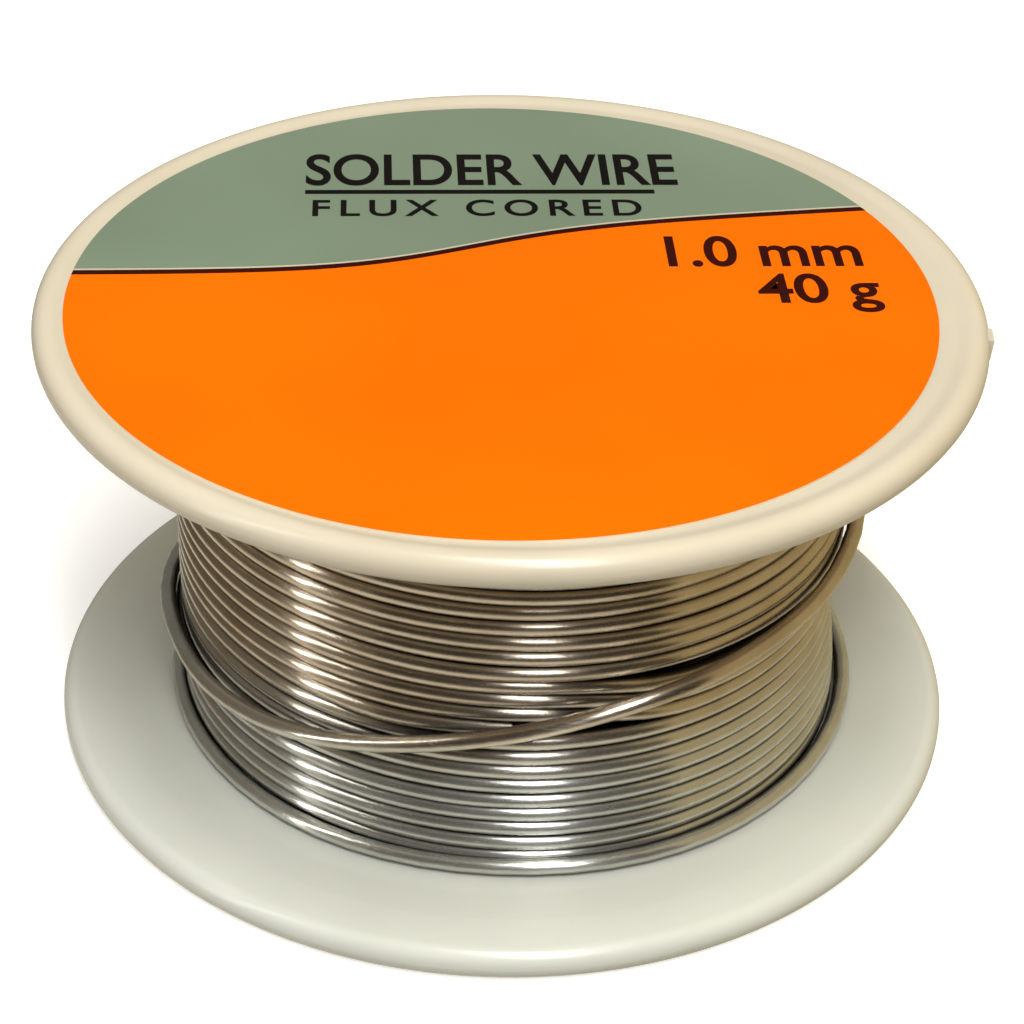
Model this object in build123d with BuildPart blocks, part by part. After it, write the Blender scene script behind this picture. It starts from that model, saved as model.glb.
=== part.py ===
"""A small spool of flux-cored solder wire.

Two moulded flanges press into a ribbed drum. One continuous wire is wound on the drum in two
layers, then makes a loose turn on the lower flange and a slanting turn over the winding, and ends
in a cut in a free groove of the outer layer. A round label covers the upper flange.

Frame: the spool stands on z = 0 with its axis on +Z; -Y is the front. Millimetres and degrees.
"""

import os
from math import cos, degrees, pi, radians, sin, tan

from build123d import *

# The flanges
flange_diameter = 56.0
spool_height = 28.7
rim_thickness = 2.0
rim_width = 1.65
rim_step = 0.2  # the rim stands this proud of the flange's web on both faces
rim_round = 0.95
gate_mark = (1.7, 1.7, 1.4)  # across the rim, along it and up it
gate_mark_proud = 0.25
gate_mark_azimuth = -6.0
ejector_mark_count = 6
ejector_mark_diameter = 3.0
ejector_mark_depth = 0.1
ejector_mark_circle = 44.0

# The drum, and the collars of the flanges that press into it
drum_diameter = 36.8
drum_wall = 1.6
spindle_diameter = 12.0
spindle_wall = 1.5
spindle_chamfer = 0.4
rib_count = 6
rib_thickness = 1.2
first_rib_azimuth = 30.0
collar_height = 2.5
collar_wall = 1.4
collar_slot = 5.0
collar_lead_in = 0.4

# The label
label_diameter = 51.1
label_thickness = 0.12
label_offset = (-0.57, -0.27)  # stuck on a little off centre

# The wire
wire_diameter = 1.0
core_diameter = 0.34
core_recess = 0.05  # the flux core ends this far inside the cut
layer_step = 0.87 * wire_diameter  # an outer turn sits in the groove between two inner ones
anchor_hole_diameter = 1.3
anchor_azimuth = 95.4  # beside a rib, in a slot of the lower flange's collar
anchor_height = 2.6
wire_start_radius = 14.9
cut_azimuth = -88.3
pocket_azimuths = (-118.0, -76.0)
pocket_heights = (11.4, 12.6)

# Derived sizes
rim_radius = flange_diameter / 2
web_radius = rim_radius - rim_width
inner_face = rim_thickness - rim_step  # the lower flange's wound side
drum_height = spool_height - 2 * inner_face
drum_radius = drum_diameter / 2
bore_radius = drum_radius - drum_wall
spindle_radius = spindle_diameter / 2
wire_radius = wire_diameter / 2
inner_turn_radius = drum_radius + wire_radius
groove_radius = inner_turn_radius + layer_step
layer_border = inner_turn_radius + layer_step / 2
winding_radius = groove_radius + wire_radius
pocket_height = (pocket_heights[0] + pocket_heights[1]) / 2
mid_plane = Plane.XY.offset(spool_height / 2)

# The loose turns, from where the outer layer ends: azimuth, centre radius and centre height.
# The base turn lies on the lower flange and rises behind the drum.
base_turn_route = [
    (-210, 20.70, 2.40),
    (-180, 20.60, 2.35),
    (-150, 20.60, 2.35),
    (-120, 20.75, 2.35),
    (-90, 20.70, 2.35),
    (-60, 21.30, 2.35),
    (-30, 21.55, 2.35),
    (0, 21.70, 2.35),
    (30, 21.95, 2.35),
    (60, 21.80, 2.60),
    (90, 21.50, 3.40),
]
# It bulges at the left, crosses the front from low on the left to high on the right, and comes
# round behind down into the free groove.
crossing_route = [
    (90, 21.50, 3.40),
    (120, 21.20, 4.75),
    (150, 21.10, 6.30),
    (180, 21.15, 7.85),
    (210, 21.30, 8.85),
    (226, 21.30, 8.90),
    (242, 21.15, 9.75),
    (258, 21.10, 11.20),
    (274, 21.15, 12.55),
    (290, 21.35, 13.88),
    (306, 21.60, 14.78),
    (330, 21.50, 15.48),
    (360, 21.50, 15.50),
    (390, 21.50, 15.20),
    (420, 21.20, 14.60),
    (450, 20.95, 14.00),
    (480, 20.85, 13.30),
    (510, 20.50, 12.75),
    (528, groove_radius, 12.45),
]


def on_spool(azimuth, radius, height):
    """The point at an azimuth, counted from +X towards +Y, a radius and a height."""
    return Vector(radius * cos(radians(azimuth)), radius * sin(radians(azimuth)), height)


def upright_plane(azimuth):
    """The plane through the spool's axis that faces an azimuth's side, X outwards and Y up."""
    return Plane(origin=(0, 0, 0), x_dir=on_spool(azimuth, 1, 0), z_dir=on_spool(azimuth - 90, 1, 0))


def route_corners(route):
    """The corners of a route, set out far enough for the rounded wire to keep its radii."""
    azimuths = [azimuth for azimuth, _, _ in route]
    before = azimuths[:1] + azimuths[:-1]
    after = azimuths[1:] + azimuths[-1:]
    return [
        on_spool(azimuth, radius / cos(radians(next_one - last_one) / 4), height)
        for (azimuth, radius, height), last_one, next_one in zip(route, before, after)
    ]


def corner_radii(points):
    """For each corner, the largest arc that its two runs have room for."""
    radii = []
    for before, corner, after in zip(points, points[1:], points[2:]):
        run_in = corner - before
        run_out = after - corner
        shorter_run = min(run_in.length, run_out.length)
        half_turn = radians(run_in.get_angle(run_out)) / 2
        radii.append(0.45 * shorter_run / tan(half_turn))
    return radii


def wire_along(points, name):
    """The wire as a tube along a route: straight runs joined by tangent arcs."""
    radii = corner_radii(points)
    with BuildPart() as tube:
        with BuildLine() as path:
            FilletPolyline(*points, radius=radii)
        with BuildSketch(Plane(origin=path.wire() @ 0, z_dir=path.wire() % 0)):
            Circle(wire_radius)
        sweep(path=path.wire())
    length = path.wire().length
    fullness = tube.part.volume / (pi * wire_radius**2 * length)
    print(f"{name}: bend radii {min(radii):.1f} to {max(radii):.1f} mm, length {length:.1f} mm,")
    print(f"    volume {fullness:.4f} of section times length")
    return tube.part


# Lower flange: the half section of the web with its rounded rim, revolved
with BuildPart() as lower_flange:
    with BuildSketch(Plane.XZ) as flange_section:
        with BuildLine():
            Polyline(
                (spindle_radius, rim_step + spindle_chamfer),
                (spindle_radius + spindle_chamfer, rim_step),
                (web_radius, rim_step),
                (web_radius + rim_step, 0),
                (rim_radius, 0),
                (rim_radius, rim_thickness),
                (web_radius + rim_step, rim_thickness),
                (web_radius, inner_face),
                (spindle_radius, inner_face),
                close=True,
            )
        make_face()
        fillet(flange_section.vertices().group_by(Axis.X)[-1], radius=rim_round)
    revolve(axis=Axis.Z)
    # The collar that presses into the drum, slotted where the ribs are
    with BuildSketch(Plane.XZ) as collar_section:
        with Locations((bore_radius, inner_face)):
            Rectangle(collar_wall, collar_height, align=(Align.MAX, Align.MIN))
        chamfer(collar_section.vertices().group_by(Axis.Y)[-1].sort_by(Axis.X)[-1], collar_lead_in)
    revolve(axis=Axis.Z)
    with BuildSketch(Plane.XY.offset(inner_face)):
        with PolarLocations(bore_radius, rib_count, start_angle=first_rib_azimuth):
            Rectangle(4 * collar_wall, collar_slot)
    extrude(amount=collar_height, mode=Mode.SUBTRACT)
    # The round marks that the mould's ejector pins leave
    with BuildSketch(Plane.XY.offset(rim_step)):
        with PolarLocations(ejector_mark_circle / 2, ejector_mark_count):
            Circle(ejector_mark_diameter / 2)
    extrude(amount=ejector_mark_depth, mode=Mode.SUBTRACT)

# Upper flange: the same moulding upside down, with the mark of its gate on the rim
with BuildPart() as upper_flange:
    add(lower_flange.part)
    mirror(about=mid_plane, mode=Mode.REPLACE)
    gate_plane = Plane(
        origin=on_spool(gate_mark_azimuth, rim_radius + gate_mark_proud, spool_height - rim_thickness / 2),
        z_dir=on_spool(gate_mark_azimuth, 1, 0),
        x_dir=(0, 0, 1),
    )
    with BuildSketch(gate_plane):
        Rectangle(gate_mark[2], gate_mark[1])
    extrude(amount=-gate_mark[0])

# Drum: outer tube, spindle tube and ribs, with the hole that the wire starts from
with BuildPart() as drum:
    with BuildSketch(Plane.XY.offset(inner_face)):
        Circle(drum_radius)
        Circle(bore_radius, mode=Mode.SUBTRACT)
        with PolarLocations(0, rib_count, start_angle=first_rib_azimuth):
            with Locations((spindle_radius + spindle_wall / 2, 0)):
                Rectangle(
                    bore_radius - spindle_radius,
                    rib_thickness,
                    align=(Align.MIN, Align.CENTER),
                )
        Circle(spindle_radius + spindle_wall)
        Circle(spindle_radius, mode=Mode.SUBTRACT)
    extrude(amount=drum_height)
    with BuildSketch(Plane(origin=(0, 0, anchor_height), z_dir=on_spool(anchor_azimuth, 1, 0))):
        Circle(anchor_hole_diameter / 2)
    extrude(amount=2 * drum_radius, mode=Mode.SUBTRACT)

# Label on the upper flange's web, over the spindle hole
with BuildPart() as top_label:
    with BuildSketch(Plane.XY.offset(spool_height - rim_step)):
        with Locations(label_offset):
            Circle(label_diameter / 2)
    extrude(amount=label_thickness)

# Start of the wire: straight out of the drum through the anchor hole
anchor_plane = Plane(
    origin=on_spool(anchor_azimuth, wire_start_radius, anchor_height),
    z_dir=on_spool(anchor_azimuth, 1, 0),
)
with BuildPart() as wire_start:
    with BuildSketch(anchor_plane):
        Circle(wire_radius)
    extrude(amount=drum_radius - wire_start_radius)

# Loose turns; they meet halfway along a run
base_corners = route_corners(base_turn_route)
crossing_corners = route_corners(crossing_route)
meeting_point = (base_corners[-2] + base_corners[-1]) / 2
with BuildPart() as base_turn:
    add(wire_along([*base_corners[:-1], meeting_point], "base_turn"))
with BuildPart() as crossing_turn:
    add(wire_along([meeting_point, base_corners[-1], *crossing_corners[1:]], "crossing_turn"))

# Cut end in the groove: a ring segment with the bore that the flux fills
with BuildPart() as wire_end:
    with BuildSketch(upright_plane(pocket_azimuths[0])):
        with Locations((groove_radius, pocket_height)):
            Circle(wire_radius)
            Circle(core_diameter / 2, mode=Mode.SUBTRACT)
    revolve(axis=Axis.Z, revolution_arc=cut_azimuth - pocket_azimuths[0])

# The bed of the cut end, over the whole open stretch
with BuildPart() as end_bed:
    with BuildSketch(upright_plane(pocket_azimuths[0])):
        with Locations((groove_radius, pocket_height)):
            Circle(wire_radius)
    revolve(axis=Axis.Z, revolution_arc=pocket_azimuths[1] - pocket_azimuths[0])

# Inner layer: one ring as wide as its turns, with the bed that the cut end lies in
with BuildPart() as wire_inner_layer:
    with BuildSketch(Plane.XY.offset(inner_face)):
        Circle(layer_border)
        Circle(drum_radius, mode=Mode.SUBTRACT)
    extrude(amount=drum_height)
    add(end_bed.part, mode=Mode.SUBTRACT)

# Outer layer: the same, with the open stretch of its free groove that holds the cut end
with BuildPart() as wire_outer_layer:
    with BuildSketch(Plane.XY.offset(inner_face)):
        Circle(winding_radius)
        Circle(layer_border, mode=Mode.SUBTRACT)
    extrude(amount=drum_height)
    with BuildSketch(upright_plane(pocket_azimuths[0])):
        with Locations((layer_border, pocket_heights[0])):
            Rectangle(
                2 * layer_step,
                pocket_heights[1] - pocket_heights[0],
                align=(Align.MIN, Align.MIN),
            )
    revolve(
        axis=Axis.Z,
        revolution_arc=pocket_azimuths[1] - pocket_azimuths[0],
        mode=Mode.SUBTRACT,
    )
    # The beds that the loose turns lie in where they dip between its turns
    add(base_turn.part, mode=Mode.SUBTRACT)
    add(crossing_turn.part, mode=Mode.SUBTRACT)

# Flux core
core_arc = degrees(core_recess / groove_radius)
with BuildPart() as flux_core:
    with BuildSketch(upright_plane(pocket_azimuths[0])):
        with Locations((groove_radius, pocket_height)):
            Circle(core_diameter / 2)
    revolve(axis=Axis.Z, revolution_arc=cut_azimuth - pocket_azimuths[0] - core_arc)

pieces = {
    "lower_flange": lower_flange,
    "upper_flange": upper_flange,
    "drum": drum,
    "top_label": top_label,
    "wire_start": wire_start,
    "wire_inner_layer": wire_inner_layer,
    "wire_outer_layer": wire_outer_layer,
    "base_turn": base_turn,
    "crossing_turn": crossing_turn,
    "wire_end": wire_end,
    "flux_core": flux_core,
}
os.makedirs("parts", exist_ok=True)
for name, piece in pieces.items():
    piece.part.label = name
    export_step(piece.part, f"parts/{name}.step")
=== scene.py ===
"""Looks of the solder wire spool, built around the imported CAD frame.

Sizes are millimetres in the names below and become metres through MM. The spool stands on the
floor with its axis on +Z; azimuth 0 is +X and -90 is the front.
"""

import math
from itertools import product

import bmesh
import bpy
from mathutils import Matrix, Vector


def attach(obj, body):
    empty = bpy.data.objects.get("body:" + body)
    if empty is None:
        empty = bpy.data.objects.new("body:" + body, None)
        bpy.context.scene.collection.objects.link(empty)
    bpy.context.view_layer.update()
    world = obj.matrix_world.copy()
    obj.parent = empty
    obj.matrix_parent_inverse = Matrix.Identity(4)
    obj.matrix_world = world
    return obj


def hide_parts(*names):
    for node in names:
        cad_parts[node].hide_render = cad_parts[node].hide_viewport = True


MM = 0.001

# The photograph's view
VIEW_DISTANCE = 164.3
VIEW_HEIGHT = 14.35
VIEW_ELEVATION = 33.417
VIEW_ROLL = 1.3835
LENS = 93.45
SHIFT = (0.0051, -0.0162)

# The spool, as the CAD has it
SPOOL_HEIGHT = 28.7
FLANGE_FACE = 1.8
RIM_RADIUS = 28.0
SPINDLE_RADIUS = 6.0
COLLAR_RADIUS = 16.8
COLLAR_WALL = 1.4
COLLAR_END = FLANGE_FACE + 2.5
COLLAR_CLEARANCE = 2.5  # from a rib's middle to the collar's pieces beside it
RIB_COUNT = 6
RIB_PITCH = 360 // RIB_COUNT
ROUND_STEPS = 288
ARC_STEPS = 8
SHARP_ANGLE = 40

# A flange's outlines, face down: radius, height and rounding of their corners
WEB_OUTLINE = [
    (SPINDLE_RADIUS, 0.2, 0.35),
    (RIM_RADIUS - 1.9, 0.2, 1.5),
    (RIM_RADIUS - 1.2, 0, 1.2),
    (RIM_RADIUS, 0, 0.97),
    (RIM_RADIUS, 2.0, 0.97),
    (RIM_RADIUS - 3.2, 1.95, 3),
    (RIM_RADIUS - 5.5, FLANGE_FACE, 5),
    (SPINDLE_RADIUS, FLANGE_FACE, 0.1),
]
COLLAR_OUTLINE = [
    (COLLAR_RADIUS - COLLAR_WALL, FLANGE_FACE, 0),
    (COLLAR_RADIUS, FLANGE_FACE, 0),
    (COLLAR_RADIUS, COLLAR_END, 0.4),
    (COLLAR_RADIUS - COLLAR_WALL, COLLAR_END, 0.2),
]

# The torn-off moulding gate at the upper flange's rim
GATE_AZIMUTH = -6.0
GATE_WIDTH = 1.7
GATE_TAPER = 0.3
GATE_HEIGHT = 1.4
GATE_BOTTOM = SPOOL_HEIGHT - 1.72
GATE_ROOT = RIM_RADIUS - 0.9  # it starts inside the rim
GATE_REACH = 1.0
GATE_TEAR = 0.12  # its top edge reaches further out, and lower, by this
GATE_SKEW = 0.1  # it reaches less far out at one side by this

# The label
LABEL_TOP = 28.62
LABEL_THICKNESS = 0.12
LABEL_RADIUS = 25.54
LABEL_OFFSET = (-0.57, -0.27)
LABEL_TURN = 3.2  # degrees that it is stuck on askew
GLOW_EDGE = (LABEL_RADIUS - 2, LABEL_RADIUS - 0.5)  # radii between which its glow fades out
LABEL_COLUMNS = 240
ZONE_BORDERS = (-0.45, 0.10, 0.28)  # heights of the printed zones' borders over the wave
WAVE_FOOT = 2.85  # the wave's height at the left
SWELL = 6.0  # how far the wave rises in its middle
SWELL_STEEPNESS = 0.25
SWELL_MIDDLE = -2.4
CLIMB = 0.33  # how it goes on rising at the right
CLIMB_START = 4
CLIMB_BLEND = 3
CAPITAL_HEIGHT = 0.69  # of the built-in font's size
LETTER_WEIGHT = 0.018
EMPTY_ZONE = 1e-6  # a zone lower than this is left out
INK_HEIGHT = 0.008
WELD_REACH = 0.0005  # corners this close become one
WELD_EMPTY = 0.0002  # edges this short go

# Colours
PLASTIC = ((0.655, 0.675, 0.605), (0.71, 0.73, 0.66))
LABELLED_PLASTIC = ((0.63, 0.565, 0.435), (0.68, 0.615, 0.48))
LABEL_GLOW = (0.42, 0.24, 0.075)  # the web's colour with the orange label behind it
ORANGE = ((0.96, 0.145, 0.0), (1.0, 0.165, 0.0))
GREY_GREEN = ((0.17, 0.225, 0.155), (0.205, 0.27, 0.19))
MAROON = ((0.028, 0.003, 0.001), (0.045, 0.005, 0.002))
PALE_LINE = ((0.50, 0.45, 0.35), (0.60, 0.55, 0.45))
BLACK_INK = ((0.005, 0.004, 0.004), (0.010, 0.008, 0.007))
PAPER = ((0.75, 0.62, 0.45), (0.85, 0.75, 0.6))
# The solder's colour with a painted reflection: browner for the upper turns, paler grey for the
# lower ones
SOLDER_WITH_PAINTED_BROWN_ABOVE = ((0.54, 0.465, 0.365), (0.66, 0.585, 0.485))
SOLDER_WITH_PAINTED_PALE_BELOW = ((0.55, 0.555, 0.51), (0.66, 0.665, 0.625))
PAINTED_REFLECTION_HEIGHTS = (7.5, 13)  # painted reflection: the turns are painted greyer and paler, and made less metallic, below, and browner and more metallic above, for the bright lower flange and the shaded upper flange that they mirror
METALLIC = (0.86, 0.95)  # below and above
# Painted shade: the wire's colour darkens towards this where it is hemmed in, between turns and
# behind the crossing strand
CREVICE_PAINTED_SHADE = (0.03, 0.022, 0.014)
CREVICE_SHADE_DEPTH = 2.4  # how far round a place it is judged open or not
CREVICE_SHADE_RANGE = (0.23, 0.60)  # how open a place is where the painted shade is darkest and where there is none
ROSIN = ((0.30, 0.13, 0.02), (0.52, 0.27, 0.06))
FLOOR = (0.93, 0.93, 0.93)
FLOOR_GLOW = 0.35

# Roughness, from and to
PLASTIC_ROUGHNESS = (0.22, 0.27)
PRINT_ROUGHNESS = (0.39, 0.53)
SOLDER_ROUGHNESS = (0.20, 0.28)
ROSIN_ROUGHNESS = (0.12, 0.25)
NOISE_RANGE = (0.3, 0.7)  # between these lies most of a noise texture

# The wire
WIRE_DIAMETER = 1.0
WIRE_RADIUS = WIRE_DIAMETER / 2
POINTS_PER_TURN = 24
POINT_STEP = 360 / POINTS_PER_TURN
CURVE_STEPS = 5
BEVEL_STEPS = 5
ANCHOR_AZIMUTH = 95.4
ANCHOR_HEIGHT = 2.6
ANCHOR_RADII = (14.9, 17.2)
INNER_RADIUS = 18.9
GROOVE_RADIUS = 19.77
LOWEST_CENTRE = FLANGE_FACE + WIRE_RADIUS + 0.02
HIGHEST_CENTRE = SPOOL_HEIGHT - FLANGE_FACE - WIRE_RADIUS - 0.02
INNER_PITCH = 1.02
TOP_TURN = 26.22  # the outer layer's first turn, where it passes the reference azimuth
REFERENCE_AZIMUTH = -122
UPPER_PITCH = 1.008
LOWER_PITCH = 1.035
TURNS_ABOVE_GROOVE = 13
GROOVE_START = 125  # azimuth where the outer layer steps over the groove
GROOVE_END = 150
TILT = (0.14, 0.46)  # the turns lie lower at the right by this, at the bottom and at the top
TILT_FULL_LEVEL = 14  # from here up it is the second number
UNEVENNESS = ((0.035, 2, 2.1), (0.025, 5, 4.7))  # size, waves in a turn, change with the level
LAST_TURN = 22.71  # where the outer layer turns into the loose turns
GROOVE_LEVEL = 12.105
NUDGE = (-84, 13.0, 0.27, 14)  # azimuth, level, rise and half width of a turn that a strand lifts
NUDGE_BAND = 0.4  # it is the turn within this of the level
SAG = 0.95  # the turns above the free groove sag into it at the right by this
SAG_LEVELS = (12.45, 15.3)
SAG_START = (-80, -60)
SAG_END = (95, 125)
BULGE = (-165, 7.1, 0.55, 50)  # azimuth, level, size and half width of a slack turn's bulge
BULGE_BAND = 0.5  # it is the turn within this of the level
JOIN_AZIMUTH = 543  # where the last stretch takes over from the loose turns
CUT_AZIMUTH = -88.3 + 720  # counted on through two turns, as the loose turns' are
END_RISE = 0.1  # the last stretch lies higher than its groove by this
END_BOW = 0.45  # the wire bows out of the groove by this before the cut
END_BOW_AZIMUTHS = (585, 617, 632)  # where that starts, peaks and ends
SLACK = 0.75  # the lowest turns stand off at the right by this
SLACK_AZIMUTH = -5  # where they do so most
SLACK_TOP = 12  # the height from which they don't
LEDGE = 0.55  # the turns above the sunken ones stand off at the right by this
LEDGE_LEVELS = (15.3, 21)
CORE_PROFILE = [(0.17, -0.4), (0.17, 0.0), (0.15, 0.014), (0.09, 0.022)]  # radius, along the wire
CORE_SIDES = 24

# The room: its colours by direction, as the wire mirrors them
ROOM_BACK = (0.16, 0.155, 0.135)
ROOM_RIGHT = (0.47, 0.365, 0.175)
ROOM_LEFT = (0.14, 0.11, 0.074)
ROOM_FRONT = (0.026, 0.019, 0.011)
CEILING = (0.27, 0.26, 0.225)
CEILING_RIGHT = (0.62, 0.52, 0.33)
TABLE = (0.90, 0.81, 0.65)
TABLE_RIGHT = (0.54, 0.45, 0.27)
FLOOR_BOUNCE = (0.80, 0.76, 0.66)  # what lights the spool's underside
BACKDROP = (1.0, 1.0, 1.0)
WARM_SIDE = (12, 60)  # azimuth of its middle, and half its width
DIM_SIDE = (-170, 45)
DARK_FRONT = (-83, 47)
CEILING_EDGE = 60  # the elevation that it reaches up to
TABLE_EDGE = -24  # the elevation that it reaches down to
FLOOR_HALF = 3000

# The lamps: name, azimuth, elevation, distance, sides, power, colour, whether the wire mirrors it
LAMPS = [
    ("window", -154, 30, 700, (26, 820), 1.25, (1, 0.97, 0.92), True),
    ("front_lamp", -75, 66, 700, (125, 680), 4.2, (1, 1, 1), True),
    ("overhead", -90, 76, 900, (600, 600), 0.8, (1, 1, 1), False),
    ("front_fill", -90, 42, 210, (120, 120), 0.11, (1, 1, 1), False),
]

# The loose turns, from where the outer layer ends to the free groove: azimuth, radius, height
LOOSE_TURNS = [
    (-210, 20.70, 2.40),
    (-180, 20.60, 2.35),
    (-150, 20.60, 2.35),
    (-120, 20.75, 2.35),
    (-90, 20.70, 2.35),
    (-60, 21.30, 2.35),
    (-30, 21.55, 2.35),
    (0, 21.70, 2.35),
    (30, 21.95, 2.35),
    (60, 21.80, 2.60),
    (90, 21.50, 3.40),
    (120, 21.20, 4.75),
    (150, 21.10, 6.30),
    (180, 21.15, 7.85),
    (210, 21.30, 8.85),
    (226, 21.30, 8.90),
    (242, 21.15, 9.75),
    (258, 21.10, 11.20),
    (274, 21.15, 12.55),
    (290, 21.35, 13.88),
    (306, 21.60, 14.78),
    (330, 21.50, 15.48),
    (360, 21.50, 15.50),
    (390, 21.50, 15.20),
    (420, 21.20, 14.60),
    (450, 20.95, 14.00),
    (480, 20.85, 13.30),
    (510, 20.50, 12.75),
    (528, GROOVE_RADIUS, 12.45),
]


def smooth_step(value, low, high):
    """0 below low, 1 above high, and a smooth rise between them."""
    share = min(max((value - low) / (high - low), 0), 1)
    return share * share * (3 - 2 * share)


def mix(low, high, share):
    """The value at a share of the way from low to high."""
    return low + (high - low) * share


def nearness(azimuth, centre, half_width):
    """1 at an azimuth and 0 beyond half a width from it, with a smooth fall between them."""
    away = abs((azimuth - centre + 180) % 360 - 180) / half_width
    return 1 - smooth_step(away, 0, 1)


def add_object(name, data):
    """A new object in the scene."""
    thing = bpy.data.objects.new(name, data)
    bpy.context.scene.collection.objects.link(thing)
    return thing


# ---------------------------------------------------------------- the wire


def on_spool(azimuth, radius, height):
    """The point at an azimuth in degrees, a radius and a height in millimetres, in metres."""
    angle = math.radians(azimuth)
    return Vector((radius * math.cos(angle), radius * math.sin(angle), height)) * MM


def wound_height(azimuth, level):
    """Height, at an azimuth, of a turn whose helix has come down to a level there."""
    tilt = mix(*TILT, smooth_step(level, LOWEST_CENTRE, TILT_FULL_LEVEL))
    lean = math.cos(math.radians(azimuth)) - math.cos(math.radians(REFERENCE_AZIMUTH))
    unevenness = sum(
        size * math.sin(math.radians(waves * azimuth) + change * level)
        for size, waves, change in UNEVENNESS
    )
    height = level - tilt * lean + unevenness
    centre, nudged_level, rise, half_width = NUDGE
    if abs(level - nudged_level) < NUDGE_BAND:
        height += rise * nearness(azimuth, centre, half_width)
    if SAG_LEVELS[0] < level < SAG_LEVELS[1]:
        side = (azimuth + 180) % 360 - 180
        height -= SAG * smooth_step(side, *SAG_START) * (1 - smooth_step(side, *SAG_END))
    return min(max(height, LOWEST_CENTRE), HIGHEST_CENTRE)


def wound_radius(azimuth, level, height):
    """Radius of an outer turn: some stand off at the right and one bulges at the left."""
    around = 0.5 + 0.5 * math.cos(math.radians(azimuth - SLACK_AZIMUTH))
    radius = GROOVE_RADIUS + SLACK * around**2 * (1 - smooth_step(height, LOWEST_CENTRE, SLACK_TOP))
    if level > LEDGE_LEVELS[0]:
        radius += LEDGE * around**2 * (1 - smooth_step(level, *LEDGE_LEVELS))
    centre, bulging_level, bulge, half_width = BULGE
    if abs(level - bulging_level) < BULGE_BAND:
        radius += bulge * nearness(azimuth, centre, half_width)
    return radius


def inner_layer():
    """The wire's start in the drum and the turns of the inner layer, from the bottom up."""
    route = [(ANCHOR_AZIMUTH, radius, ANCHOR_HEIGHT) for radius in ANCHOR_RADII]
    route.append((ANCHOR_AZIMUTH + 1, INNER_RADIUS, ANCHOR_HEIGHT))
    steps = int((HIGHEST_CENTRE - ANCHOR_HEIGHT) / INNER_PITCH * POINTS_PER_TURN)
    for step in range(1, steps):
        height = ANCHOR_HEIGHT + INNER_PITCH * step / POINTS_PER_TURN
        route.append((ANCHOR_AZIMUTH + step * POINT_STEP, INNER_RADIUS, height))
    return route


def outer_layer():
    """The turns of the outer layer, from the top down, with the step over the free groove."""
    groove = TURNS_ABOVE_GROOVE + (GROOVE_START - REFERENCE_AZIMUTH) / 360
    groove_end = groove + (GROOVE_END - GROOVE_START) / 360
    route = []
    for step in range(-1, int(LAST_TURN * POINTS_PER_TURN)):
        turns = step / POINTS_PER_TURN
        azimuth = REFERENCE_AZIMUTH + 360 * turns
        level = TOP_TURN - UPPER_PITCH * min(turns, groove) - LOWER_PITCH * max(turns - groove, 0)
        level -= UPPER_PITCH * smooth_step(turns, groove, groove_end)
        height = wound_height(azimuth, level)
        route.append((azimuth, wound_radius(azimuth, level, height), height))
    return route


def in_groove(start, stop):
    """The stretch of a loose turn that lies in the free groove between two azimuths."""
    steps = round((stop - start) / POINT_STEP)
    route = []
    for step in range(steps + 1):
        azimuth = start + (stop - start) * step / steps
        beyond = (azimuth - REFERENCE_AZIMUTH) % 360
        if beyond > 270:
            beyond -= 360
        level = GROOVE_LEVEL - UPPER_PITCH * beyond / 360
        height = wound_height(azimuth, level)
        route.append((azimuth, wound_radius(azimuth, level, height), height))
    return route


def bowed_end(route):
    """The same stretch, bowed a little out of the groove shortly before the cut."""
    start, peak, stop = END_BOW_AZIMUTHS
    bowed = []
    for azimuth, radius, height in route:
        share = smooth_step(azimuth, start, peak) * (1 - smooth_step(azimuth, peak, stop))
        bowed.append((azimuth, radius + END_BOW * share, height + END_RISE))
    return bowed


def spread_out(route):
    """The route's points in metres, set out so far that the rounded curve keeps their radii."""
    points = []
    for number, (azimuth, radius, height) in enumerate(route):
        before = route[max(number - 1, 0)][0]
        after = route[min(number + 1, len(route) - 1)][0]
        turn = math.radians((after - before) % 360)
        points.append(on_spool(azimuth, radius / math.cos(turn / 4), height))
    return points


def make_wire(material):
    """The whole wire as one open curve, from the anchor hole to the cut."""
    route = inner_layer() + outer_layer() + LOOSE_TURNS
    route += bowed_end(in_groove(JOIN_AZIMUTH, CUT_AZIMUTH))
    points = spread_out(route)
    curve = bpy.data.curves.new("solder_wire", "CURVE")
    curve.dimensions = "3D"
    curve.resolution_u = CURVE_STEPS
    curve.bevel_depth = WIRE_RADIUS * MM
    curve.bevel_resolution = BEVEL_STEPS
    curve.use_fill_caps = True
    spline = curve.splines.new("NURBS")
    spline.points.add(len(points) - 1)
    for spot, point in zip(spline.points, points):
        spot.co = (*point, 1)
    spline.order_u = 3
    spline.use_endpoint_u = True
    curve.materials.append(material)
    return add_object("solder_wire", curve), points


# ---------------------------------------------------------------- materials


def new_material(name):
    """A material with an empty node tree but for the shader and the output."""
    material = bpy.data.materials.new(name)
    material.use_nodes = True
    nodes = material.node_tree.nodes
    shader = nodes["Principled BSDF"]
    return material, nodes, material.node_tree.links, shader


def noise(nodes, links, scale, detail, stretch=(1, 1, 1)):
    """Noise in the object's own millimetres, stretched along its axes."""
    place = nodes.new("ShaderNodeTexCoord")
    mapping = nodes.new("ShaderNodeMapping")
    mapping.inputs["Scale"].default_value = [side / MM for side in stretch]
    texture = nodes.new("ShaderNodeTexNoise")
    texture.inputs["Scale"].default_value = scale
    texture.inputs["Detail"].default_value = detail
    links.new(place.outputs["Object"], mapping.inputs["Vector"])
    links.new(mapping.outputs["Vector"], texture.inputs["Vector"])
    return texture.outputs["Fac"]


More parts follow.
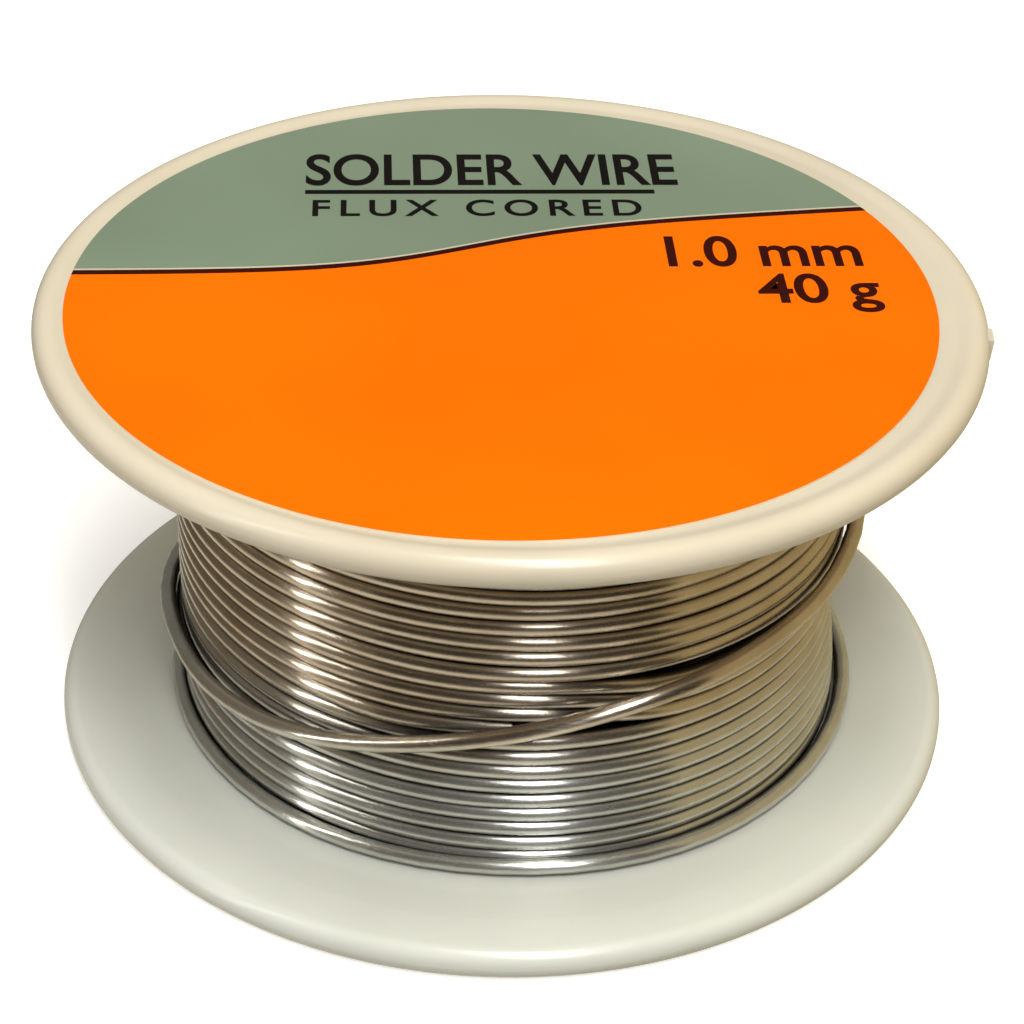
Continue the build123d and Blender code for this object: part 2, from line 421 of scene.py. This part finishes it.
def ranged(nodes, links, value, low, high, from_range=NOISE_RANGE):
    """Maps a texture's value to a range."""
    rise = nodes.new("ShaderNodeMapRange")
    rise.inputs["From Min"].default_value = from_range[0]
    rise.inputs["From Max"].default_value = from_range[1]
    rise.inputs["To Min"].default_value = low
    rise.inputs["To Max"].default_value = high
    links.new(value, rise.inputs["Value"])
    return rise.outputs["Result"]


def by_height(nodes, links, heights, below, above):
    """A value that goes from one number to another between two heights in millimetres."""
    place = nodes.new("ShaderNodeTexCoord")
    parts = nodes.new("ShaderNodeSeparateXYZ")
    links.new(place.outputs["Object"], parts.inputs["Vector"])
    limits = [height * MM for height in heights]
    return ranged(nodes, links, parts.outputs["Z"], below, above, limits)


def flattened(nodes, links, vector):
    """A vector without its height."""
    flat = nodes.new("ShaderNodeVectorMath")
    flat.operation = "MULTIPLY"
    flat.inputs[1].default_value = (1, 1, 0)
    links.new(vector, flat.inputs[0])
    return flat.outputs[0]


def bump(nodes, links, shader, height, depth):
    """Gives the shader a bump of a depth in millimetres."""
    node = nodes.new("ShaderNodeBump")
    node.inputs["Strength"].default_value = 1
    node.inputs["Distance"].default_value = depth * MM
    links.new(height, node.inputs["Height"])
    links.new(node.outputs["Normal"], shader.inputs["Normal"])


def layer_colour(nodes, links, share, below, over):
    """Mixes a colour over another by a share; each colour is numbers or a socket."""
    mixer = nodes.new("ShaderNodeMix")
    mixer.data_type = "RGBA"
    links.new(share, mixer.inputs[0])
    for socket, colour in ((mixer.inputs[6], below), (mixer.inputs[7], over)):
        if isinstance(colour, tuple):
            socket.default_value = (*colour, 1)
        else:
            links.new(colour, socket)
    return mixer.outputs[2]


def plastic_material(name, low, high, backing=None):
    """Milky polypropylene, a little warmer where a coloured label shows through its web."""
    material, nodes, links, shader = new_material(name)
    clouds = noise(nodes, links, scale=0.08, detail=2)
    colour = layer_colour(nodes, links, ranged(nodes, links, clouds, 0, 1), low, high)
    if backing:
        place = nodes.new("ShaderNodeTexCoord")
        radius = nodes.new("ShaderNodeVectorMath")
        radius.operation = "LENGTH"
        links.new(flattened(nodes, links, place.outputs["Object"]), radius.inputs[0])
        edge = [limit * MM for limit in GLOW_EDGE]
        share = ranged(nodes, links, radius.outputs["Value"], 1, 0, edge)
        colour = layer_colour(nodes, links, share, colour, backing)
    links.new(colour, shader.inputs["Base Color"])
    grain = noise(nodes, links, scale=0.5, detail=2)
    links.new(ranged(nodes, links, grain, *PLASTIC_ROUGHNESS), shader.inputs["Roughness"])
    shader.inputs["Subsurface Weight"].default_value = 0.25
    shader.inputs["Subsurface Radius"].default_value = (1.0, 0.85, 0.6)
    shader.inputs["Subsurface Scale"].default_value = 1.2 * MM
    bump(nodes, links, shader, grain, depth=0.004)
    return material


def print_material(name, low, high):
    """Ink on the label's matt film, a little uneven in tone and sheen."""
    material, nodes, links, shader = new_material(name)
    tone = ranged(nodes, links, noise(nodes, links, scale=0.05, detail=2), 0, 1)
    links.new(layer_colour(nodes, links, tone, low, high), shader.inputs["Base Color"])
    fibre = noise(nodes, links, scale=6, detail=3)
    links.new(ranged(nodes, links, fibre, *PRINT_ROUGHNESS), shader.inputs["Roughness"])
    shader.inputs["Specular IOR Level"].default_value = 0.05
    bump(nodes, links, shader, fibre, depth=0.004)
    return material


def solder_material():
    """Drawn solder: mirror-like along the wire and blurred across it by the drawing lines, with a
    painted reflection (browner above, paler grey below) and painted shade in its crevices.
    """
    material, nodes, links, shader = new_material("solder")
    patches = ranged(nodes, links, noise(nodes, links, scale=0.35, detail=4), 0, 1)
    # painted reflection: pale grey solder below and warm brown above, blended by height
    lower = layer_colour(nodes, links, patches, *SOLDER_WITH_PAINTED_PALE_BELOW)
    upper = layer_colour(nodes, links, patches, *SOLDER_WITH_PAINTED_BROWN_ABOVE)
    metal = layer_colour(nodes, links, by_height(nodes, links, PAINTED_REFLECTION_HEIGHTS, 0, 1), lower, upper)
    # painted shade: ambient occlusion darkens the wire between turns and behind the crossing strand
    shade_openness = nodes.new("ShaderNodeAmbientOcclusion")
    shade_openness.inputs["Distance"].default_value = CREVICE_SHADE_DEPTH * MM
    share = ranged(nodes, links, shade_openness.outputs["AO"], 0, 1, CREVICE_SHADE_RANGE)
    colour = layer_colour(nodes, links, share, CREVICE_PAINTED_SHADE, metal)
    links.new(colour, shader.inputs["Base Color"])
    links.new(by_height(nodes, links, PAINTED_REFLECTION_HEIGHTS, *METALLIC), shader.inputs["Metallic"])
    lines = noise(nodes, links, scale=1.0, detail=5, stretch=(0.25, 0.25, 9))
    links.new(ranged(nodes, links, lines, *SOLDER_ROUGHNESS), shader.inputs["Roughness"])
    shader.inputs["Anisotropic"].default_value = 0.9
    shader.inputs["Anisotropic Rotation"].default_value = 0.25
    tangent = nodes.new("ShaderNodeTangent")
    tangent.direction_type = "RADIAL"
    tangent.axis = "Z"
    links.new(tangent.outputs["Tangent"], shader.inputs["Tangent"])
    bump(nodes, links, shader, lines, depth=0.006)
    return material


def flux_material():
    """Amber rosin."""
    material, nodes, links, shader = new_material("rosin")
    grain = noise(nodes, links, scale=3, detail=3)
    tone = ranged(nodes, links, grain, 0, 1)
    links.new(layer_colour(nodes, links, tone, *ROSIN), shader.inputs["Base Color"])
    links.new(ranged(nodes, links, grain, *ROSIN_ROUGHNESS), shader.inputs["Roughness"])
    bump(nodes, links, shader, grain, depth=0.01)
    return material


# ---------------------------------------------------------------- flanges and label


def rounded_outline(corners):
    """An outline in (radius, height) whose corners are rounded by their third number."""
    outline = []
    count = len(corners)
    for number, (radius, height, rounding) in enumerate(corners):
        corner = Vector((radius, height))
        if not rounding:
            outline.append(corner)
            continue
        before = (Vector(corners[number - 1][:2]) - corner).normalized()
        after = (Vector(corners[(number + 1) % count][:2]) - corner).normalized()
        half = before.angle(after) / 2
        reach = rounding / math.tan(half)
        centre = corner + (before + after).normalized() * rounding / math.sin(half)
        start = corner + before * reach - centre
        turn = start.angle_signed(corner + after * reach - centre)
        for step in range(ARC_STEPS + 1):
            angle = -turn * step / ARC_STEPS
            outline.append(centre + Matrix.Rotation(angle, 2) @ start)
    return outline


def revolve(outline, start=0, stop=360):
    """Corners and faces of a closed outline turned about the spool's axis."""
    whole = stop - start == 360
    steps = round((stop - start) / 360 * ROUND_STEPS)
    rings = steps if whole else steps + 1
    corners = []
    for ring in range(rings):
        azimuth = start + (stop - start) * ring / steps
        corners += [on_spool(azimuth, radius, height) for radius, height in outline]
    size = len(outline)
    faces = []
    for ring in range(steps):
        here = ring * size
        there = (ring + 1) % rings * size
        for one in range(size):
            two = (one + 1) % size
            faces.append((here + one, there + one, there + two, here + two))
    if not whole:
        faces.append(tuple(range(size)))
        faces.append(tuple(reversed(range(steps * size, rings * size))))
    return corners, faces


def make_mesh(name, pieces, material):
    """One object from lists of (corners, faces), with smooth shading up to a sharp angle."""
    corners, faces = [], []
    for piece_corners, piece_faces in pieces:
        offset = len(corners)
        corners += piece_corners
        faces += [tuple(offset + index for index in face) for face in piece_faces]
    mesh = bpy.data.meshes.new(name)
    mesh.from_pydata(corners, [], faces)
    mesh.validate()
    mesh.materials.append(material)
    recalculate_normals(mesh)
    mesh.polygons.foreach_set("use_smooth", [True] * len(mesh.polygons))
    mesh.set_sharp_from_angle(angle=math.radians(SHARP_ANGLE))
    return add_object(name, mesh)


def recalculate_normals(mesh):
    """Turns all faces outwards."""
    shell = bmesh.new()
    shell.from_mesh(mesh)
    bmesh.ops.recalc_face_normals(shell, faces=shell.faces)
    shell.to_mesh(mesh)
    shell.free()


def flange_pieces(upside_down):
    """The web with its rounded rim and the six pieces of the collar."""
    collar = rounded_outline(COLLAR_OUTLINE)
    gap = math.degrees(COLLAR_CLEARANCE / COLLAR_RADIUS)
    pieces = [revolve(rounded_outline(WEB_OUTLINE))]
    for rib in range(RIB_COUNT):
        azimuth = RIB_PITCH // 2 + RIB_PITCH * rib
        pieces.append(revolve(collar, azimuth + gap, azimuth + RIB_PITCH - gap))
    if upside_down:
        for corners, _ in pieces:
            for corner in corners:
                corner.z = SPOOL_HEIGHT * MM - corner.z
    return pieces


def gate_nub():
    """The torn-off moulding gate at the upper flange's rim: a small rough block."""
    corners = []
    for outwards, along, up in product((0, 1), repeat=3):
        width = GATE_WIDTH - GATE_TAPER * outwards
        azimuth = GATE_AZIMUTH + math.degrees((along - 0.5) * width / RIM_RADIUS)
        radius = GATE_ROOT + (GATE_REACH + GATE_TEAR * up - GATE_SKEW * along) * outwards
        height = GATE_BOTTOM + GATE_HEIGHT * up - GATE_TEAR * outwards * up
        corners.append(on_spool(azimuth, radius, height))
    faces = [(0, 1, 3, 2), (4, 6, 7, 5), (0, 4, 5, 1), (2, 3, 7, 6), (0, 2, 6, 4), (1, 5, 7, 3)]
    return corners, faces


def label_wave(x):
    """Height of the printed wave's edge across the label, in the label's own millimetres."""
    swell = SWELL / (1 + math.exp(-SWELL_STEEPNESS * (x - SWELL_MIDDLE)))
    climb = CLIMB * math.log(1 + math.exp((x - CLIMB_START) / CLIMB_BLEND))
    return WAVE_FOOT + swell + climb


def label_edge(x, side):
    """Height of the label's cut edge above (side 1) or below (side -1) its middle line."""
    centre = Matrix.Rotation(math.radians(-LABEL_TURN), 2) @ Vector(LABEL_OFFSET)
    across = min(abs(x - centre.x), LABEL_RADIUS)
    return centre.y + side * math.sqrt(LABEL_RADIUS**2 - across**2)


def label_point(x, y, height):
    """A point of the label's own frame, which is turned a little on the flange."""
    flat = Matrix.Rotation(math.radians(LABEL_TURN), 2) @ Vector((x, y))
    return Vector((flat.x, flat.y, height)) * MM


def label_columns():
    """Points up the label at each of its columns: its cut edges and the zones' borders."""
    centre = Matrix.Rotation(math.radians(-LABEL_TURN), 2) @ Vector(LABEL_OFFSET)
    columns = []
    for step in range(LABEL_COLUMNS + 1):
        x = centre.x - LABEL_RADIUS * math.cos(math.pi * step / LABEL_COLUMNS)
        low, high = label_edge(x, -1), label_edge(x, 1)
        borders = [min(max(label_wave(x) + rise, low), high) for rise in ZONE_BORDERS]
        columns.append([(x, y) for y in (low, *borders, high)])
    return columns


def label_quads(columns):
    """The label's faces, each as a material's number and four corners (x, y, height)."""
    bottom = LABEL_TOP - LABEL_THICKNESS
    quads = []
    for left, right in zip(columns, columns[1:]):
        for zone in range(len(left) - 1):
            quad = [left[zone], right[zone], right[zone + 1], left[zone + 1]]
            if max(quad[2][1] - quad[1][1], quad[3][1] - quad[0][1]) < EMPTY_ZONE:
                continue
            quads.append((zone + 1, [(*spot, LABEL_TOP) for spot in quad]))
            quads.append((0, [(*spot, bottom) for spot in quad]))
    for edge in (0, -1):
        for left, right in zip(columns, columns[1:]):
            one, two = left[edge], right[edge]
            wall = [(*one, LABEL_TOP), (*one, bottom), (*two, bottom), (*two, LABEL_TOP)]
            quads.append((0, wall))
    return quads


def make_label(edge_material, zone_materials):
    """The label: a disc whose face is split into printed zones along the wave."""
    corners, faces, groups = [], [], []
    for group, quad in label_quads(label_columns()):
        faces.append(tuple(range(len(corners), len(corners) + len(quad))))
        corners += [label_point(*corner) for corner in quad]
        groups.append(group)
    mesh = bpy.data.meshes.new("label")
    mesh.from_pydata(corners, [], faces)
    for material in (edge_material, *zone_materials):
        mesh.materials.append(material)
    mesh.polygons.foreach_set("material_index", groups)
    weld(mesh)
    return add_object("label", mesh)


def weld(mesh):
    """Joins corners that share a place, drops empty faces and turns all faces outwards."""
    shell = bmesh.new()
    shell.from_mesh(mesh)
    bmesh.ops.remove_doubles(shell, verts=shell.verts, dist=WELD_REACH * MM)
    bmesh.ops.dissolve_degenerate(shell, edges=shell.edges, dist=WELD_EMPTY * MM)
    bmesh.ops.recalc_face_normals(shell, faces=shell.faces)
    shell.to_mesh(mesh)
    shell.free()


def place_print(name, mesh, material):
    """Turns a flat mesh in the label's millimetres into a print that lies on the label."""
    for corner in mesh.vertices:
        corner.co = label_point(corner.co.x, corner.co.y, LABEL_TOP + INK_HEIGHT + corner.co.z)
    mesh.name = name
    mesh.materials.clear()
    mesh.materials.append(material)
    return add_object(name, mesh)


def make_words(name, words, material, start, height, width, spacing=1.0):
    """Printed words: capitals of a height, fitted to a width, from a point of the label."""
    curve = bpy.data.curves.new(name, "FONT")
    curve.body = words
    curve.offset = LETTER_WEIGHT
    curve.space_character = spacing
    drawn = bpy.data.objects.new(name, curve)
    mesh = bpy.data.meshes.new_from_object(drawn)
    bpy.data.objects.remove(drawn)
    left = min(corner.co.x for corner in mesh.vertices)
    right = max(corner.co.x for corner in mesh.vertices)
    for corner in mesh.vertices:
        corner.co.x = start[0] + (corner.co.x - left) / (right - left) * width
        corner.co.y = start[1] + corner.co.y / CAPITAL_HEIGHT * height
        corner.co.z = 0
    return place_print(name, mesh, material)


def make_rule(name, material, start, length, thickness):
    """A printed straight rule."""
    x, y = start
    top = y + thickness
    mesh = bpy.data.meshes.new(name)
    corners = [(x, y, 0), (x + length, y, 0), (x + length, top, 0), (x, top, 0)]
    mesh.from_pydata(corners, [], [(0, 1, 2, 3)])
    return place_print(name, mesh, material)


def make_core_end(wire_points, material):
    """The rosin core, seen in the wire's cut: a rod along the last of the wire with a domed end."""
    end = wire_points[-1]
    along = (end - wire_points[-2]).normalized()
    turn = along.to_track_quat("Z", "Y").to_matrix()
    corners = []
    for radius, forward in CORE_PROFILE:
        for step in range(CORE_SIDES):
            angle = math.tau * step / CORE_SIDES
            spot = Vector((radius * math.cos(angle), radius * math.sin(angle), forward)) * MM
            corners.append(end + turn @ spot)
    faces = []
    for ring in range(len(CORE_PROFILE) - 1):
        for step in range(CORE_SIDES):
            one, two = ring * CORE_SIDES + step, ring * CORE_SIDES + (step + 1) % CORE_SIDES
            faces.append((one, two, two + CORE_SIDES, one + CORE_SIDES))
    faces.append(tuple(range(CORE_SIDES)))
    faces.append(tuple(range(len(corners) - CORE_SIDES, len(corners))))
    return make_mesh("rosin_core", [(corners, faces)], material)


def dress(piece, material):
    """Gives a CAD piece its material."""
    piece.data.materials.clear()
    piece.data.materials.append(material)


# ---------------------------------------------------------------- the studio


def make_floor():
    """A plain pale floor that neither the wire nor the plastic picks up."""
    mesh = bpy.data.meshes.new("floor")
    half = FLOOR_HALF * MM
    corners = [(-half, -half, 0), (half, -half, 0), (half, half, 0), (-half, half, 0)]
    mesh.from_pydata(corners, [], [(0, 1, 2, 3)])
    floor = add_object("floor", mesh)
    material, _, _, shader = new_material("floor")
    shader.inputs["Base Color"].default_value = (*FLOOR, 1)
    shader.inputs["Roughness"].default_value = 0.8
    shader.inputs["Emission Color"].default_value = (1, 1, 1, 1)
    shader.inputs["Emission Strength"].default_value = FLOOR_GLOW
    mesh.materials.append(material)
    floor.visible_glossy = False
    floor.visible_diffuse = False


def make_camera():
    """The camera at the photograph's angle, with the small roll and shift of its framing."""
    elevation = math.radians(VIEW_ELEVATION)
    back = Vector((0, -math.cos(elevation), math.sin(elevation)))
    right = Vector((1, 0, 0))
    up = back.cross(right)
    roll = math.radians(VIEW_ROLL)
    rolled_right = right * math.cos(roll) + up * math.sin(roll)
    rolled_up = up * math.cos(roll) - right * math.sin(roll)
    data = bpy.data.cameras.new("camera")
    data.sensor_width = 36
    data.lens = LENS
    data.shift_x, data.shift_y = SHIFT
    data.clip_start = 0.01
    data.clip_end = 10
    camera = add_object("camera", data)
    rotation = Matrix((rolled_right, rolled_up, back)).transposed().to_4x4()
    place = Vector((0, 0, VIEW_HEIGHT * MM)) + back * VIEW_DISTANCE * MM
    camera.matrix_world = Matrix.Translation(place) @ rotation
    bpy.context.scene.camera = camera


def add_lamp(name, azimuth, elevation, distance, sides, power, colour, mirrored):
    """A soft rectangular lamp at an angle round the spool, aimed at its middle."""
    data = bpy.data.lights.new(name, "AREA")
    data.shape = "RECTANGLE"
    data.size, data.size_y = (side * MM for side in sides)
    data.energy = power
    data.color = colour
    lamp = add_object(name, data)
    flat = distance * math.cos(math.radians(elevation))
    place = on_spool(azimuth, flat, VIEW_HEIGHT + distance * math.sin(math.radians(elevation)))
    target = Vector((0, 0, VIEW_HEIGHT)) * MM
    lamp.location = place
    lamp.rotation_euler = (target - place).to_track_quat("-Z", "Y").to_euler()
    lamp.visible_camera = False
    lamp.visible_glossy = mirrored


def towards(nodes, links, value, factor, added):
    """value * factor + added, where what is added is a number or a socket."""
    node = nodes.new("ShaderNodeMath")
    node.operation = "MULTIPLY_ADD"
    links.new(value, node.inputs[0])
    node.inputs[1].default_value = factor
    if isinstance(added, (int, float)):
        node.inputs[2].default_value = added
    else:
        links.new(added, node.inputs[2])
    return node.outputs[0]


def soft_step(nodes, links, value, low, high):
    """0 below low and 1 above high, with a smooth rise between them."""
    rise = nodes.new("ShaderNodeMapRange")
    rise.interpolation_type = "SMOOTHSTEP"
    rise.inputs["From Min"].default_value = low
    rise.inputs["From Max"].default_value = high
    links.new(value, rise.inputs["Value"])
    return rise.outputs["Result"]


def sector(nodes, links, flat_x, flat_y, azimuth, half_width, softness=2.0):
    """1 towards an azimuth and 0 beyond half a width from it, with soft sides, in degrees."""
    angle = math.radians(azimuth)
    along = towards(nodes, links, flat_x, math.cos(angle), 0)
    along = towards(nodes, links, flat_y, math.sin(angle), along)
    low = math.cos(math.radians(half_width + softness))
    high = math.cos(math.radians(half_width - softness))
    return soft_step(nodes, links, along, low, high)


def beyond(nodes, links, height, elevation, softness=4.0):
    """0 below an elevation in degrees and 1 above it, with a soft border."""
    low = math.sin(math.radians(elevation - softness))
    high = math.sin(math.radians(elevation + softness))
    return soft_step(nodes, links, height, low, high)


def ray_direction(nodes, links):
    """A ray's direction: x and y of its level part, made one unit long, and its height."""
    direction = nodes.new("ShaderNodeTexCoord").outputs["Generated"]
    unit = nodes.new("ShaderNodeVectorMath")
    unit.operation = "NORMALIZE"
    links.new(flattened(nodes, links, direction), unit.inputs[0])
    parts = nodes.new("ShaderNodeSeparateXYZ")
    links.new(direction, parts.inputs[0])
    flat_parts = nodes.new("ShaderNodeSeparateXYZ")
    links.new(unit.outputs[0], flat_parts.inputs[0])
    return flat_parts.outputs[0], flat_parts.outputs[1], parts.outputs[2]


def make_world():
    """The room that the wire mirrors: warm at the right, darker at the left and dark in front."""
    world = bpy.data.worlds.new("studio")
    world.use_nodes = True
    nodes, links = world.node_tree.nodes, world.node_tree.links
    x, y, height = ray_direction(nodes, links)
    right = sector(nodes, links, x, y, *WARM_SIDE)
    left = sector(nodes, links, x, y, *DIM_SIDE)
    front = sector(nodes, links, x, y, *DARK_FRONT)
    colour = layer_colour(nodes, links, right, ROOM_BACK, ROOM_RIGHT)
    colour = layer_colour(nodes, links, left, colour, ROOM_LEFT)
    colour = layer_colour(nodes, links, front, colour, ROOM_FRONT)
    ceiling = layer_colour(nodes, links, right, CEILING, CEILING_RIGHT)
    rays = nodes.new("ShaderNodeLightPath")
    table = layer_colour(nodes, links, right, TABLE, TABLE_RIGHT)
    table = layer_colour(nodes, links, rays.outputs["Is Glossy Ray"], FLOOR_BOUNCE, table)
    colour = layer_colour(nodes, links, beyond(nodes, links, height, CEILING_EDGE), colour, ceiling)
    colour = layer_colour(nodes, links, beyond(nodes, links, height, TABLE_EDGE), table, colour)
    colour = layer_colour(nodes, links, rays.outputs["Is Camera Ray"], colour, BACKDROP)
    links.new(colour, nodes["Background"].inputs["Color"])
    bpy.context.scene.world = world


def make_light():
    """Two lamps that the wire mirrors, and two wide soft ones that it doesn't."""
    make_world()
    for lamp in LAMPS:
        add_lamp(*lamp)
    bpy.context.scene.view_settings.view_transform = "Standard"


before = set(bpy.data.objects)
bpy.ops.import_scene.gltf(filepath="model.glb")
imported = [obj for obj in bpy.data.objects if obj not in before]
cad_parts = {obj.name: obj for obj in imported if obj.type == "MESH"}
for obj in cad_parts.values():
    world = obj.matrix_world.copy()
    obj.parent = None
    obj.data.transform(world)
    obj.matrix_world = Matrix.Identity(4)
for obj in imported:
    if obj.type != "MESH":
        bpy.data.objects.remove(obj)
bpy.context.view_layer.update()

plastic = plastic_material("natural_polypropylene", *PLASTIC)
labelled_plastic = plastic_material("labelled_polypropylene", *LABELLED_PLASTIC, LABEL_GLOW)
dress(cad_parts["drum"], plastic)
for node, upside_down, material in (
    ("lower_flange", False, plastic),
    ("upper_flange", True, labelled_plastic),
):
    parts = flange_pieces(upside_down)
    if upside_down:
        parts.append(gate_nub())
    flange = make_mesh(f"moulded_{node}", parts, material)
    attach(flange, "root")
    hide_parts(node)

black_ink = print_material("black_ink", *BLACK_INK)
maroon_ink = print_material("maroon_ink", *MAROON)
label = make_label(
    print_material("paper_edge", *PAPER),
    [
        print_material("orange_print", *ORANGE),
        maroon_ink,
        print_material("pale_print", *PALE_LINE),
        print_material("grey_green_print", *GREY_GREEN),
    ],
)
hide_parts("top_label")
printed = [
    label,
    make_words(
        "printed_title",
        "SOLDER WIRE",
        black_ink,
        start=(-12.4, 14.1),
        height=4.2,
        width=23.6,
    ),
    make_rule("printed_rule", black_ink, start=(-12.4, 12.8), length=22.0, thickness=0.55),
    make_words(
        "printed_kind",
        "FLUX CORED",
        black_ink,
        start=(-11.9, 9.85),
        height=2.1,
        width=20.5,
        spacing=1.35,
    ),
    make_words("printed_diameter", "1.0 mm", maroon_ink, start=(9.6, 3.3), height=3.7, width=11.8),
    make_words("printed_weight", "40 g", maroon_ink, start=(14.6, -1.2), height=3.4, width=7.3),
]
for piece in printed:
    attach(piece, "root")

wire, wire_points = make_wire(solder_material())
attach(wire, "root")
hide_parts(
    "wire_start",
    "wire_inner_layer",
    "wire_outer_layer",
    "base_turn",
    "crossing_turn",
    "wire_end",
)
core = make_core_end(wire_points, flux_material())
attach(core, "root")
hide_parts("flux_core")

make_floor()
make_camera()
make_light()
